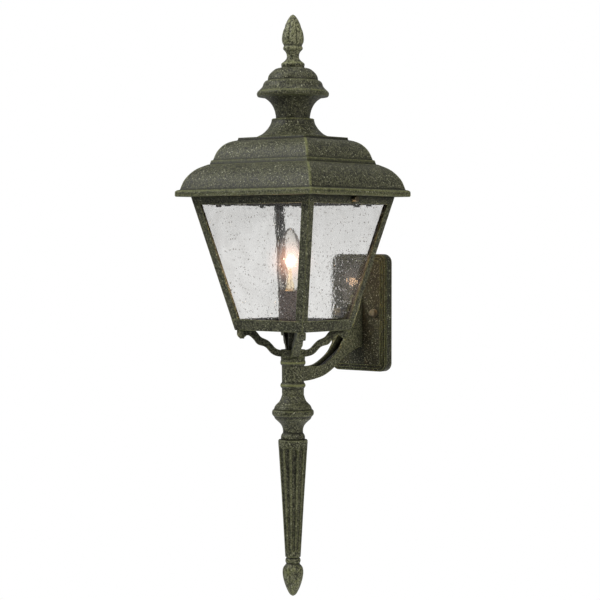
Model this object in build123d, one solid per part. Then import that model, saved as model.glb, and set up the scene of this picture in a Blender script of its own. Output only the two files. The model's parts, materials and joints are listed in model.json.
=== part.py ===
from build123d import *
import math
import os

os.makedirs("parts", exist_ok=True)

# ---------------------------------------------------------------- driving dimensions (mm)
# Frame: origin at the centre of the wall face, +Y into the wall, +Z up, lantern on -Y.
AXIS_Y = -180.5            # the lantern's turned axis stands this far from the wall
PLATE_W, PLATE_H = 111.8, 188.8
PLATE_WALL_D = 17.0        # depth of the plate's outer wall
PLATE_D = 20.5             # depth to the raised panel's face
PLATE_T = 4.0
GASKET_T = 1.5
NUT_X = 36.0               # cap nuts, either side of the centre
BOX_SCREW_Z = 39.7         # slot centres for the junction box screws
SLOT_R, SLOT_L = 2.35, 14.2
STUD_R = 2.4

ROOF_DQ = 7.45             # roof half-depth and half-width differ by twice this
ROOF_BOTTOM = 183.6
ROOF_EAVE_Q = 129.3
ROOF_T = 4.0

CAGE_Z0, CAGE_Z1 = -22.6, 183.4
CAGE_A0, CAGE_A1 = 67.9, 118.9    # outer half-width (X) at the bottom and top
CAGE_B0, CAGE_B1 = 59.1, 103.8    # outer half-depth (Y) at the bottom and top
RAIL_BOTTOM_TOP = -5.7
RAIL_TOP_BOTTOM = 171.5
FRAME_T = 5.0
POST_FRONT, POST_SIDE = 14.5, 12.0
GLASS_T = 3.0
GLASS_GAP = 0.25
PAN_T = 2.0

PIPE_R, PIPE_BORE = 4.8, 3.6      # hollow threaded pipe from hub to socket
ROD_R = 3.0
SOCKET_COVER_R = 17.9
LAMP_Y = AXIS_Y - 5.4          # the lamp holder stands this far forward of the column
BULB_BASE_R = 13.2
ARM_W, ARM_WALL, ARM_FLOOR = 23.0, 4.0, 5.0
SCREW_Z = 178.5                   # roof thumbscrews in the top rail

# turned profiles, (radius, height) from top to bottom; three or more points are a curve
FINIAL = [
    [(0.9, 464.1), (4, 461.9), (7.3, 457.3), (10.5, 451.2), (13.1, 445), (15.1, 438.8), (16.4, 432.7), (17, 427), (16.4, 421.8), (15, 418.7), (13.9, 416.3)],
    [(13.9, 416.3), (14.7, 414.2), (15.3, 412.5), (14.7, 410.5), (13.5, 409.2)],
    [(13.5, 409.2), (11.2, 406.4), (9.8, 403), (9.5, 399.6), (10.2, 396.2), (12.9, 392.9), (16.9, 389.8)],
    [(16.9, 389.8), (18, 388.3), (18.1, 386.4), (17.7, 384.2), (17.5, 382.4)],
]
CAP = [
    [(20.6, 382), (26.8, 380.4), (31.3, 377.1), (34.8, 373.8), (37.1, 370.7), (38.4, 367.3), (39.1, 362.9)],
    [(39.1, 362.9), (42.1, 361.9)],
    [(42.1, 361.9), (44.5, 359.5), (45.9, 356.7), (46.8, 353.8), (48.8, 351), (51.6, 348.2), (54.5, 345.5)],
    [(54.5, 345.5), (55.6, 343.4), (55.7, 340.7), (54.5, 337.9)],
]
NECK = [
    [(46.2, 337.8), (42.8, 335.3), (38.6, 332.3), (35.2, 329.1), (32.4, 325.3), (30.2, 321.3), (28.5, 317), (27.3, 312.4), (26.5, 307.8), (26.3, 303.8)],
]
COLLAR = [
    [(31.9, 303.7), (32.9, 302.8)],
    [(32.9, 302.8), (33, 300.6)],
    [(33, 300.6), (34.7, 295.4), (38, 289.9), (42.5, 284.6), (47.7, 280.1), (53.6, 277), (57.2, 275.1)],
]
HUB = [
    [(18.8, -65.4), (18.6, -68.9)],
    [(18.6, -68.9), (19.4, -71.2), (19.6, -73.2), (19.1, -75.4), (17.4, -77.6)],
    [(17.4, -77.6), (17.2, -103.8)],
    [(17.2, -103.8), (18.8, -105.7), (19.6, -108.2), (18.9, -110.8), (17.2, -112.9)],
    [(17.2, -112.9), (17, -123.6)],
]
VASE = [
    [(17.2, -123.7), (18, -126.2), (19.2, -129.6), (21.1, -133.3), (24.2, -136.6), (27.3, -139.8), (29.3, -144.1), (29.4, -145.5)],
    [(29.4, -145.5), (31.6, -146.9), (32.5, -150.3), (31.9, -153.9), (29.6, -156.5)],
    [(29.6, -156.5), (27.6, -160.3), (24.3, -163.4), (20.8, -166.7), (18, -170.2), (16.4, -174), (15.7, -178.1), (15.7, -182.1)],
    [(15.7, -182.1), (17.2, -184), (18.4, -186.6), (18.8, -189.6), (18.4, -192.6)],
]
SHAFT = [
    [(22, -192.7), (22.9, -194.1)],
    [(22.9, -194.1), (22.9, -196.8)],
    [(22.9, -196.8), (20.1, -241.4), (17.1, -288.2), (14.4, -335), (12, -375.1)],
]
FLUTES = 12
BUD = [
    [(11.3, -375.2), (10.2, -376.8)],
    [(10.2, -376.8), (11.4, -378.8), (11.9, -381.1), (11.5, -383.7), (10.3, -385.6)],
    [(10.3, -385.6), (11.9, -388.1), (14.4, -391.1), (15.7, -394.7), (16.2, -399.3), (15.8, -404.4), (14.8, -410.2), (13.2, -416.1), (11, -422.3), (8.2, -428.6), (5, -433.9), (1.1, -436.7)],
]
# roof section, (q, height): half-width is q + ROOF_DQ, half-depth is q - ROOF_DQ
ROOF_UP = [(61.4, 270.8), (66.6, 269.4), (72.7, 266.3), (77.8, 261.6), (82.1, 255.3), (84.9, 248.9), (87.4, 240.5)]
ROOF_LOW = [(93.0, 233.5), (98.2, 230.8), (103.8, 227.6), (109.2, 223.1), (114.7, 216.4), (119.2, 208.8), (121.8, 201.3), (123.7, 194.5)]
ROOF_IN = [(118.5, 187.6), (120.0, 192.5), (116.5, 202.9), (109.5, 214.3), (101.0, 222.8), (90.0, 228.8), (83.0, 232.8), (80.5, 246.7), (74.0, 258.1), (66.0, 264.1), (56.0, 267.1)]
# strut section, (distance from the axis along the diagonal, height)
STRUT_UP = [(59.8, -23.0), (57.2, -24.6), (53.6, -28.5), (50.2, -32.9), (44.9, -36.0), (39.0, -38.7), (34.6, -42.5), (30.4, -47.1), (26.7, -51.0), (22.5, -53.0), (12.0, -53.4)]
STRUT_LOW = [(12.0, -64.2), (19.2, -63.6), (27.6, -61.8), (33.2, -58.7), (37.7, -54.1), (41.8, -49.6), (47.1, -46.8), (53.0, -45.2), (56.7, -42.6), (59.7, -38.6), (63.7, -34.1), (68.2, -30.8), (71.7, -30.5)]
STRUT_FOOT = [(71.7, -30.5), (74.8, -33.2), (80.4, -35.0), (85.1, -32.2), (86.8, -27.3)]
STRUT_W = 12.5
# bracket arm section, (distance from the axis towards the wall, height)
ARM_TOP = [(8.0, -78.6), (35.0, -80.4), (54.0, -80.6), (66.0, -78.0), (79.0, -72.5), (90.0, -66.6), (98.5, -60.4), (104.5, -53.8), (110.5, -46.4), (117.0, -38.8), (124.0, -32.2), (131.5, -24.4), (140.0, -12.6), (148.0, 1.4), (154.0, 13.6), (160.0, 28.0)]
ARM_BOTTOM = [(160.0, -54.4), (150.0, -55.8), (138.0, -58.9), (126.0, -63.0), (113.0, -69.0), (100.0, -76.8), (88.0, -84.5), (76.0, -90.6), (62.0, -95.9), (50.5, -98.4), (35.0, -100.7), (8.0, -102.0)]


# ---------------------------------------------------------------- helpers
def save(name, shape):
    solids = shape.solids()
    out = Compound(children=list(solids)) if len(solids) > 1 else solids[0]
    export_step(out, f"parts/{name}.step")
    print(name, len(solids), "solids", round(sum(s.volume for s in solids)), "mm3")


def edge(points):
    return Spline(*points) if len(points) > 2 else Line(*points)


def turned(segs, inner, x=0.0, y=AXIS_Y):
    """A turned solid: outer profile segs, inner boundary as (r, z) points from bottom to top."""
    outer = [edge([(r, 0, z) for r, z in seg]) for seg in segs]
    first, last = segs[0][0], segs[-1][-1]
    path = [last, *inner, first]
    lines = [Line((a[0], 0, a[1]), (b[0], 0, b[1])) for a, b in zip(path, path[1:]) if math.dist(a, b) > 1e-6]
    body = revolve(Face(Wire([*outer, *lines])), Axis.Z)
    return Pos(x, y, 0) * body


def rod(r, z0, z1, x=0.0, y=AXIS_Y):
    return Pos(x, y, (z0 + z1) / 2) * Cylinder(r, abs(z1 - z0))


def rod_y(r, y0, y1, x=0.0, z=0.0):
    return Pos(x, (y0 + y1) / 2, z) * Rot(90, 0, 0) * Cylinder(r, abs(y1 - y0))


def rod_x(r, x0, x1, y=AXIS_Y, z=0.0):
    return Pos((x0 + x1) / 2, y, z) * Rot(0, 90, 0) * Cylinder(r, abs(x1 - x0))


def block(x0, x1, y0, y1, z0, z1):
    return Pos((x0 + x1) / 2, (y0 + y1) / 2, (z0 + z1) / 2) * Box(x1 - x0, y1 - y0, z1 - z0)


def rounded_y(w, h, r, y0, y1):
    """Rounded rectangle in XZ, extruded from y0 down to y1."""
    face = Plane.XZ * RectangleRounded(w, h, r)
    return Pos(0, y0, 0) * extrude(face, y0 - y1)


def hexagon_y(across, y0, y1, x=0.0, z=0.0):
    face = Plane.XZ * RegularPolygon(across / math.sqrt(3), 6)
    return Pos(x, y0, z) * extrude(face, y0 - y1)


def section_x(points, x0, x1):
    """Closed polygon in (distance towards the wall, height), extruded along X."""
    wire = Polyline(*[(x0, AXIS_Y + u, v) for u, v in points], close=True)
    return extrude(Face(Wire(wire.edges())), x1 - x0, dir=(1, 0, 0))


def half_a(z):
    return CAGE_A0 + (CAGE_A1 - CAGE_A0) * (z - CAGE_Z0) / (CAGE_Z1 - CAGE_Z0)


def half_b(z):
    return CAGE_B0 + (CAGE_B1 - CAGE_B0) * (z - CAGE_Z0) / (CAGE_Z1 - CAGE_Z0)


COS_A = math.cos(math.atan((CAGE_A1 - CAGE_A0) / (CAGE_Z1 - CAGE_Z0)))
COS_B = math.cos(math.atan((CAGE_B1 - CAGE_B0) / (CAGE_Z1 - CAGE_Z0)))


def prism(ring, z0, z1):
    """Ruled solid between the plan polygons ring(z0) and ring(z1)."""
    faces = []
    for z in (z0, z1):
        wire = Polyline(*[(x, AXIS_Y + y, z) for x, y in ring(z)], close=True)
        faces.append(Face(Wire(wire.edges())))
    return loft(faces, ruled=True)


def frustum(z0, z1, t):
    def ring(z):
        a, b = half_a(z) - t / COS_A, half_b(z) - t / COS_B
        return [(-a, -b), (a, -b), (a, b), (-a, b)]
    return prism(ring, z0, z1)


def corner_post(sx, sy):
    def ring(z):
        a, b = half_a(z), half_b(z)
        ta, tb = FRAME_T / COS_A, FRAME_T / COS_B
        pts = [(a, b), (a, b - POST_SIDE), (a - ta, b - POST_SIDE), (a - ta, b - tb), (a - POST_FRONT, b - tb), (a - POST_FRONT, b)]
        return [(sx * x, sy * y) for x, y in pts]
    return prism(ring, RAIL_BOTTOM_TOP, RAIL_TOP_BOTTOM)


def pane_y(sy, z0, z1):
    def ring(z):
        w = half_a(z) - (FRAME_T + 0.6) / COS_A
        y0 = half_b(z) - (FRAME_T + GLASS_GAP) / COS_B
        y1 = half_b(z) - (FRAME_T + GLASS_GAP + GLASS_T) / COS_B
        return [(-w, sy * y0), (w, sy * y0), (w, sy * y1), (-w, sy * y1)]
    return prism(ring, z0, z1)


def pane_x(sx, z0, z1):
    def ring(z):
        w = half_b(z) - (FRAME_T + GLASS_GAP + GLASS_T + 0.6) / COS_B
        x0 = half_a(z) - (FRAME_T + GLASS_GAP) / COS_A
        x1 = half_a(z) - (FRAME_T + GLASS_GAP + GLASS_T) / COS_A
        return [(sx * x0, -w), (sx * x0, w), (sx * x1, w), (sx * x1, -w)]
    return prism(ring, z0, z1)


def clip(section, face, along, width=12.0):
    """A bent glass clip: section is (distance in from the frame's outer plane, height)."""
    kind, s = face
    pts = []
    for n, z in section:
        if kind == "x":
            pts.append((s * (half_a(z) - n / COS_A), AXIS_Y + along - width / 2, z))
        else:
            pts.append((along - width / 2, AXIS_Y + s * (half_b(z) - n / COS_B), z))
    wire = Polyline(*pts, close=True)
    direction = (0, 1, 0) if kind == "x" else (1, 0, 0)
    return extrude(Face(Wire(wire.edges())), width, dir=direction)


def hip_block(profile_q):
    """Solid bounded by the same section on all four sides, with mitred corners.

    profile_q is a list of segments of (q, z) from the top to the bottom."""
    def half(sign_pts, axis, span, dq):
        right = [[(q + dq, z) for q, z in seg] for seg in sign_pts]
        edges = []
        for s in (1, -1):
            for seg in right:
                if axis == "x":
                    edges.append(edge([(s * h, AXIS_Y - span, z) for h, z in seg]))
                else:
                    edges.append(edge([(-span, AXIS_Y + s * h, z) for h, z in seg]))
        top, bottom = right[0][0], right[-1][-1]
        for h, z in (top, bottom):
            if axis == "x":
                edges.append(Line((-h, AXIS_Y - span, z), (h, AXIS_Y - span, z)))
            else:
                edges.append(Line((-span, AXIS_Y - h, z), (-span, AXIS_Y + h, z)))
        face = Face(Wire(edges))
        return extrude(face, 2 * span, dir=(0, 1, 0) if axis == "x" else (1, 0, 0))
    return half(profile_q, "x", 150.0, ROOF_DQ) & half(profile_q, "y", 165.0, -ROOF_DQ)


# ---------------------------------------------------------------- wall side
gasket = rounded_y(PLATE_W - 1.0, PLATE_H - 1.0, 13.5, 0, -GASKET_T) - rounded_y(PLATE_W - 12, PLATE_H - 12, 9, 1, -3)
save("wall_gasket", gasket)

mounting_bar = block(-11, 11, -2, 0, -52, 52) - rod_y(3.1, 1, -3)
for s in (1, -1):
    slot = Plane.XZ * Pos(0, s * BOX_SCREW_Z) * SlotOverall(SLOT_L, 2 * SLOT_R, rotation=90)
    mounting_bar -= Pos(0, 1, 0) * extrude(slot, 4)
save("mounting_bar", mounting_bar)

stud_bar = block(-46, 46, -4, -2, -9, 9) - rod_y(3.1, 1, -6)
for s in (1, -1):
    stud_bar -= rod_y(STUD_R + 0.02, 1, -6, s * NUT_X)
stud_bar -= rod_y(2.1, 1, -6, 20.0)
save("stud_bar", stud_bar)
save("pivot_rivet", rod_y(3.0, 0, -4.0) + rod_y(4.8, -4.0, -5.4))
save("ground_screw", rod_y(2.0, -0.6, -4.0, 20.0) + hexagon_y(7.0, -4.0, -7.0, 20.0))
save("mounting_studs", Compound(children=[rod_y(STUD_R, -2.2, -28.0, s * NUT_X) for s in (1, -1)]))
save("stud_lock_nuts", Compound(children=[(hexagon_y(8.5, -4.0, -7.2, s * NUT_X) - rod_y(STUD_R + 0.02, -3, -9, s * NUT_X)) for s in (1, -1)]))

plate = rounded_y(PLATE_W, PLATE_H, 14, -GASKET_T, -14.5)
plate += rounded_y(PLATE_W - 2.4, PLATE_H - 2.4, 13, -14.5, -PLATE_WALL_D)
plate += rounded_y(PLATE_W - 10.0, PLATE_H - 10.0, 10, -PLATE_WALL_D, -18.9)
plate += rounded_y(PLATE_W - 16.5, PLATE_H - 20.0, 7, -18.9, -PLATE_D)
plate -= rounded_y(PLATE_W - 2 * PLATE_T, PLATE_H - 2 * PLATE_T, 10, 1, -13.0)
plate -= rounded_y(PLATE_W - 24, PLATE_H - 27, 6, -12.9, -PLATE_D + PLATE_T)
for s in (1, -1):
    plate -= rod_y(2.9, -10, -25, s * NUT_X)
ARM_SCREW_Z = (12.0, -22.0)
SLEEVE_Z = -45.5
for z in ARM_SCREW_Z:
    plate -= rod_y(2.6, -10, -25, 0, z)
plate -= rod_y(3.6, -10, -25, 0, SLEEVE_Z)
save("back_plate", plate)

arm_screws = []
for z in ARM_SCREW_Z:
    arm_screws.append(rod_y(2.45, -PLATE_D + PLATE_T, -27.0, 0, z) + rod_y(4.6, -13.6, -PLATE_D + PLATE_T, 0, z))
save("arm_screws", Compound(children=arm_screws))


def cap_nut(s):
    """Acorn nut, its bore running on the stud."""
    profile = [(6.4, 0.0), (6.4, 1.4), (5.4, 1.8), (5.4, 5.6)]
    dome = [(5.4, 5.6), (4.7, 8.0), (2.9, 9.9), (0.001, 10.6)]
    edges = [Line((a[0], 0, a[1]), (b[0], 0, b[1])) for a, b in zip(profile, profile[1:])]
    edges.append(Spline(*[(r, 0, z) for r, z in dome]))
    inner = [(0.001, 10.6), (0.001, 7.9), (STUD_R + 0.06, 7.9), (STUD_R + 0.06, 0.0), (6.4, 0.0)]
    edges += [Line((a[0], 0, a[1]), (b[0], 0, b[1])) for a, b in zip(inner, inner[1:])]
    nut = revolve(Face(Wire(edges)), Axis.Z)
    hexa = extrude(RegularPolygon(10.6 / math.sqrt(3), 6), 5.6)
    hexa = hexa & Cylinder(5.9, 30)
    nut += hexa - Cylinder(STUD_R + 0.06, 30)
    return Pos(s * NUT_X, -PLATE_D - 0.2, 0) * Rot(90, 0, 0) * nut


save("cap_nut_left", cap_nut(-1))
save("cap_nut_right", cap_nut(1))

# ---------------------------------------------------------------- bracket arm and hub
top_edge = Spline(*[(-ARM_W / 2, AXIS_Y + u, v) for u, v in ARM_TOP])
bottom_edge = Spline(*[(-ARM_W / 2, AXIS_Y + u, v) for u, v in ARM_BOTTOM])
end_1 = Line(top_edge @ 1, bottom_edge @ 0)
end_2 = Line(bottom_edge @ 1, top_edge @ 0)
arm = extrude(Face(Wire([top_edge, end_1, bottom_edge, end_2])), ARM_W, dir=(1, 0, 0))
channel_floor = [(u, v + ARM_FLOOR) for u, v in ARM_BOTTOM if 14 < u < 153]
channel_floor = [(153.5, -50.6), *channel_floor, (25.0, -96.4)]
inner_w = ARM_W / 2 - ARM_WALL
floor_edge = Spline(*[(-inner_w, AXIS_Y + u, v) for u, v in channel_floor])
trough_points = [channel_floor[-1], (channel_floor[-1][0], -65.0), (60.0, -60.0), (90.0, -40.0), (153.5, 60.0), channel_floor[0]]
trough_lines = [Line((-inner_w, AXIS_Y + a[0], a[1]), (-inner_w, AXIS_Y + b[0], b[1])) for a, b in zip(trough_points, trough_points[1:])]
trough = extrude(Face(Wire([floor_edge, *trough_lines])), 2 * inner_w, dir=(1, 0, 0))
arm -= trough
arm -= rod_y(3.6, AXIS_Y + 150, AXIS_Y + 161, 0, SLEEVE_Z)
for z in ARM_SCREW_Z:
    arm -= rod_y(2.47, -27.5, -20.0, 0, z)
hub = turned(HUB, [(3.1, -123.6), (3.1, -97.0), (12.5, -97.0), (12.5, -77.0), (PIPE_R + 0.02, -77.0), (PIPE_R + 0.02, -65.4)])
keep_out = rod(16.9, -124, -60)
arm_outside = arm - keep_out
bracket = hub + arm_outside
bracket -= block(-inner_w, inner_w, AXIS_Y + 4, AXIS_Y + 27, -95.5, -82.5)
save("bracket_arm", bracket)

# ---------------------------------------------------------------- column below the hub
save("stem_vase", turned(VASE, [(3.1, -192.6), (3.1, -123.7)]))
shaft = turned(SHAFT, [(3.1, -375.1), (3.1, -192.7)])
flute_top, flute_bottom = -209.0, -364.0


def shaft_r(z):
    return 22.9 + (12.0 - 22.9) * (-196.8 - z) / (375.1 - 196.8)


tilt = math.atan((shaft_r(flute_top) - shaft_r(flute_bottom)) / (flute_top - flute_bottom))
for i in range(FLUTES):
    length = (flute_top - flute_bottom) / math.cos(tilt)
    cutter = Pos(0, 0, length / 2) * Cone(2.35, 4.5, length) + Pos(0, 0, length) * Sphere(4.5) + Sphere(2.35)
    cutter = Rot(0, math.degrees(tilt), 0) * cutter
    cutter = Pos(shaft_r(flute_bottom) + 0.7, 0, flute_bottom) * cutter
    cutter = Rot(0, 0, 360 / FLUTES * (i + 0.5)) * cutter
    shaft -= Pos(0, AXIS_Y, 0) * cutter
save("fluted_shaft", shaft)
bud_top = -375.2
save("tail_finial", turned(BUD, [(0.001, -436.7), (0.001, -394.0), (3.1, -394.0), (3.1, bud_top)]))
tie_rod = rod(ROD_R, -393.0, -91.3)
tie_nut = Pos(0, AXIS_Y, -97.0) * (extrude(RegularPolygon(10 / math.sqrt(3), 6), 5.0) - Cylinder(3.02, 30))
save("tie_rod", tie_rod)
save("tie_rod_nut", tie_nut)

# ---------------------------------------------------------------- strut spider
diagonal = math.degrees(math.atan2(CAGE_B0, CAGE_A0))


def strut(angle):
    up = [(r, -STRUT_W / 2, z) for r, z in STRUT_UP]
    low = [(r, -STRUT_W / 2, z) for r, z in STRUT_LOW]
    foot = [(r, -STRUT_W / 2, z) for r, z in STRUT_FOOT]
    edges = [
        Line((86.8, -STRUT_W / 2, -23.0), (59.8, -STRUT_W / 2, -23.0)),
        Spline(*up),
        Line(up[-1], low[0]),
        Spline(*low),
        Spline(*foot),
        Line(foot[-1], (86.8, -STRUT_W / 2, -23.0)),
    ]
    bar = extrude(Face(Wire(edges)), STRUT_W, dir=(0, 1, 0))
    return Pos(0, AXIS_Y, 0) * Rot(0, 0, angle) * bar


spider = rod(18.8, -65.1, -52.8)
DIAGONALS = (diagonal, 180 - diagonal, 180 + diagonal, 360 - diagonal)
for ang in DIAGONALS:
    spider += strut(ang)
spider -= rod(PIPE_R + 0.02, -70, -40)
spider_holes = []
for ang in DIAGONALS:
    x = 79.0 * math.cos(math.radians(ang))
    y = AXIS_Y + 79.0 * math.sin(math.radians(ang))
    spider_holes.append((x, y))
    spider -= Pos(x, y, -30) * Cylinder(2.1, 30)
    spider -= Pos(x, y, -35.6) * Cylinder(3.7, 6.0)
save("strut_spider", spider)
save("spider_screws", Compound(children=[
    (rod(2.0, -33.5, -19.8, x, y) + rod(3.6, -35.6, -32.7, x, y)) for x, y in spider_holes]))

# ---------------------------------------------------------------- cage
def ring_frame(z0, z1, t):
    return frustum(z0, z1, 0) - frustum(z0, z1, t)


bottom_frame = ring_frame(CAGE_Z0, RAIL_BOTTOM_TOP, FRAME_T)
ledge = frustum(CAGE_Z0, -19.6, 1.0) - block(-54, 54, AXIS_Y - 45, AXIS_Y + 45, -30, 0)
bottom_frame += ledge
# bosses over the struts' screws
for x, y in spider_holes:
    bottom_frame += (Pos(x, y, -21.1) * Cylinder(7.0, 3.0)) & frustum(CAGE_Z0, -19.6, 0.5)
for x, y in spider_holes:
    bottom_frame -= Pos(x, y, -20) * Cylinder(2.02, 20)
save("bottom_frame", bottom_frame)
pan = block(-62.0, 62.0, AXIS_Y - 53.2, AXIS_Y + 53.2, -19.5, -17.5) - rod(PIPE_R + 0.02, -25, -10)
save("bottom_pan", pan)
for name, sx, sy in (("post_front_left", -1, -1), ("post_front_right", 1, -1), ("post_rear_left", -1, 1), ("post_rear_right", 1, 1)):
    save(name, corner_post(sx, sy))
top_frame = ring_frame(RAIL_TOP_BOTTOM, CAGE_Z1, FRAME_T)
for s in (1, -1):
    top_frame -= rod_x(2.06, s * 100, s * 125, z=SCREW_Z)
save("top_frame", top_frame)

PANE_Z0, PANE_Z1 = -17.3, 175.3
save("pane_front", pane_y(-1, PANE_Z0, PANE_Z1))
save("pane_rear", pane_y(1, PANE_Z0, PANE_Z1))
save("pane_left", pane_x(-1, PANE_Z0, PANE_Z1))
save("pane_right", pane_x(1, PANE_Z0, PANE_Z1))

n0, n1 = FRAME_T + 0.05, FRAME_T + GLASS_GAP + GLASS_T + 0.15
TOP_CLIP = [(n0, 180.5), (n0, 175.8), (n1, 175.8), (n1, 168.5), (n1 + 1.0, 168.5), (n1 + 1.0, 180.5)]
LOW_CLIP = [(n1, -17.4), (n1, -8.5), (n1 + 1.0, -8.5), (n1 + 1.0, -16.4), (n1 + 6.0, -16.4), (n1 + 6.0, -17.4)]
clips = []
for s in (1, -1):
    for along in (-52.0, 52.0):
        clips.append(clip(TOP_CLIP, ("x", s), along))
        clips.append(clip(TOP_CLIP, ("y", s), along))
    for along in (-22.0, 22.0):
        clips.append(clip(LOW_CLIP, ("x", s), along))
        clips.append(clip(LOW_CLIP, ("y", s), along))
save("glass_clips", Compound(children=clips))

# ---------------------------------------------------------------- socket, pipe, lamp
save("center_tube", rod(7.7, -52.7, -19.6) - rod(PIPE_R + 0.02, -60, -10))
save("threaded_pipe", rod(PIPE_R, -84.0, 1.0) - rod(PIPE_BORE, -90, 5))
pipe_nuts = []
for z, t in ((-84.0 + 1.0, 3.5), (-17.4, 3.5)):
    pipe_nuts.append(Pos(0, AXIS_Y, z) * (extrude(RegularPolygon(14 / math.sqrt(3), 6), t) - Cylinder(PIPE_R + 0.03, 60)))
# the lower nut closes up under the hub's top web
pipe_nuts[0] = Pos(0, 0, 2.4) * pipe_nuts[0]
save("pipe_lock_nuts", Compound(children=pipe_nuts))
socket_body = rod(15.7, 0.0, 33.0, y=LAMP_Y) - rod(13.9, 8.0, 40.0, y=LAMP_Y) - rod(PIPE_R + 0.02, -5, 1.0)
for s in (1, -1):
    socket_body -= rod(1.1, -5, 20, x=s * 1.3)
save("socket_body", socket_body)
save("screw_shell", rod(13.85, 8.0, 35.0, y=LAMP_Y) - rod(BULB_BASE_R + 0.06, 9.0, 40.0, y=LAMP_Y) - rod(5.0, 5.0, 12.0, y=LAMP_Y) - rod(2.5, 5.0, 12.0))
save("center_contact", rod(2.6, 8.0, 10.2, y=LAMP_Y - 0.6))
save("socket_cover", rod(SOCKET_COVER_R, -17.4, 38.7, y=LAMP_Y) - rod(SOCKET_COVER_R - 1.4, -18.0, 40.0, y=LAMP_Y))

bulb_base = rod(BULB_BASE_R, 14.2, 36.0, y=LAMP_Y) + turned([[(BULB_BASE_R, 14.2), (5.0, 11.4)]], [(0.001, 11.4), (0.001, 14.2)], y=LAMP_Y) + rod(3.4, 10.4, 11.5, y=LAMP_Y)
bulb_base -= rod(BULB_BASE_R - 1.0, 16.0, 40.0, y=LAMP_Y)
save("bulb_base", bulb_base)
GLASS = [(12.0, 30.0), (12.1, 36.2), (14.3, 39.6), (16.8, 44.0), (18.7, 50.0), (20.2, 58.5), (20.9, 68.5), (20.9, 79.0), (20.2, 90.0), (18.7, 100.5), (16.4, 110.0), (13.2, 119.0), (10.1, 125.4), (6.6, 131.2), (3.4, 134.9), (1.2, 136.2)]
outer_glass = Spline(*[(r, 0, z) for r, z in GLASS])
inner_pts = [(max(r - 0.9, 0.5), z - (0.9 if r < 6 else (0.5 if r < 12 and z > 60 else (0.25 if r < 17 and z > 60 else 0.0)))) for r, z in GLASS]
inner_pts[0] = (11.1, 30.0)
inner_glass = Spline(*[(r, 0, z) for r, z in inner_pts])
shell_edges = [outer_glass, Line((GLASS[-1][0], 0, GLASS[-1][1]), (0.001, 0, 136.4)), Line((0.001, 0, 136.4), (0.001, 0, 135.4)), Line((0.001, 0, 135.4), (inner_pts[-1][0], 0, inner_pts[-1][1])), inner_glass, Line((11.1, 0, 30.0), (12.0, 0, 30.0))]
save("bulb_glass", Pos(0, LAMP_Y, 0) * revolve(Face(Wire(shell_edges)), Axis.Z))
mount = turned([[(2.2, 72.0), (3.0, 66.0)], [(3.0, 66.0), (3.6, 58.0), (5.5, 46.0), (9.6, 34.0)]], [(9.6, 33.0), (0.001, 33.0), (0.001, 72.0)], y=LAMP_Y)
save("bulb_stem", mount)
wires = []
for s in (1, -1):
    wires.append(Pos(s * 2.0, LAMP_Y, 77.9) * Rot(0, s * 10, 0) * Cylinder(0.35, 11.2))
save("bulb_support_wires", Compound(children=wires))
save("bulb_filament", rod_x(0.7, -3.6, 3.6, y=LAMP_Y, z=84.6))

# ---------------------------------------------------------------- roof
q_eave = ROOF_EAVE_Q
outer_roof = hip_block([
    [(59.8, 274.9), (60.4, 271.4)],
    [(60.4, 271.4), (ROOF_UP[0][0], ROOF_UP[0][1])],
    ROOF_UP,
    [ROOF_UP[-1], (89.6, 239.6)],
    [(89.6, 239.6), (91.2, 233.5)],
    [(91.2, 233.5), ROOF_LOW[0]],
    ROOF_LOW,
    [ROOF_LOW[-1], (126.9, 193.6)],
    [(126.9, 193.6), (128.9, 192.0)],
    [(128.9, 192.0), (q_eave, 189.6)],
    [(q_eave, 189.6), (q_eave, 185.2)],
    [(q_eave, 185.2), (128.3, ROOF_BOTTOM)],
])


def rect_ring(q):
    return [(-(q + ROOF_DQ), -(q - ROOF_DQ)), (q + ROOF_DQ, -(q - ROOF_DQ)), (q + ROOF_DQ, q - ROOF_DQ), (-(q + ROOF_DQ), q - ROOF_DQ)]


inner_roof = None
for (q0, z0), (q1, z1) in zip(ROOF_IN, ROOF_IN[1:]):
    def ring(z, q0=q0, q1=q1, z0=z0, z1=z1):
        return rect_ring(q0 + (q1 - q0) * (z - z0) / (z1 - z0))
    piece = prism(ring, z0, z1)
    inner_roof = piece if inner_roof is None else inner_roof + piece
SOFFIT_A, SOFFIT_B = 113.9, 98.9
roof = outer_roof - inner_roof
roof -= block(-SOFFIT_A, SOFFIT_A, AXIS_Y - SOFFIT_B, AXIS_Y + SOFFIT_B, 180, 190)
roof -= rod(ROD_R + 0.1, 260, 280)
TAB_X, TAB_W = 103.8, 22.0
rivet_xy = [(s * 117.5, AXIS_Y + t) for s in (1, -1) for t in (-6.0, 6.0)]
for x, y in rivet_xy:
    roof -= Pos(x, y, 186) * Cylinder(1.6, 8)
save("roof_casting", roof)

tabs = []
for s in (1, -1):
    x0, x1 = (TAB_X, TAB_X + 2.0) if s > 0 else (-TAB_X - 2.0, -TAB_X)
    f0, f1 = (TAB_X, 122.5) if s > 0 else (-122.5, -TAB_X)
    tab = block(x0, x1, AXIS_Y - TAB_W / 2, AXIS_Y + TAB_W / 2, 172.0, 189.7)
    tab += block(f0, f1, AXIS_Y - TAB_W / 2, AXIS_Y + TAB_W / 2, 187.7, 189.7)
    tab -= block(x0 - 1, x1 + 1, AXIS_Y - 2.4, AXIS_Y + 2.4, 170.0, SCREW_Z)
    tab -= rod_x(2.4, x0 - 1, x1 + 1, z=SCREW_Z)
    tabs.append(tab)
for i, s in enumerate((1, -1)):
    for x, y in rivet_xy:
        if x * s > 0:
            tabs[i] -= Pos(x, y, 188) * Cylinder(1.6, 10)
save("roof_tabs", Compound(children=tabs))
save("tab_rivets", Compound(children=[
    (Pos(x, y, 187.3) * Cylinder(1.55, 6.6) + Pos(x, y, 190.4) * Cylinder(2.8, 1.4)) for x, y in rivet_xy]))

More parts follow.
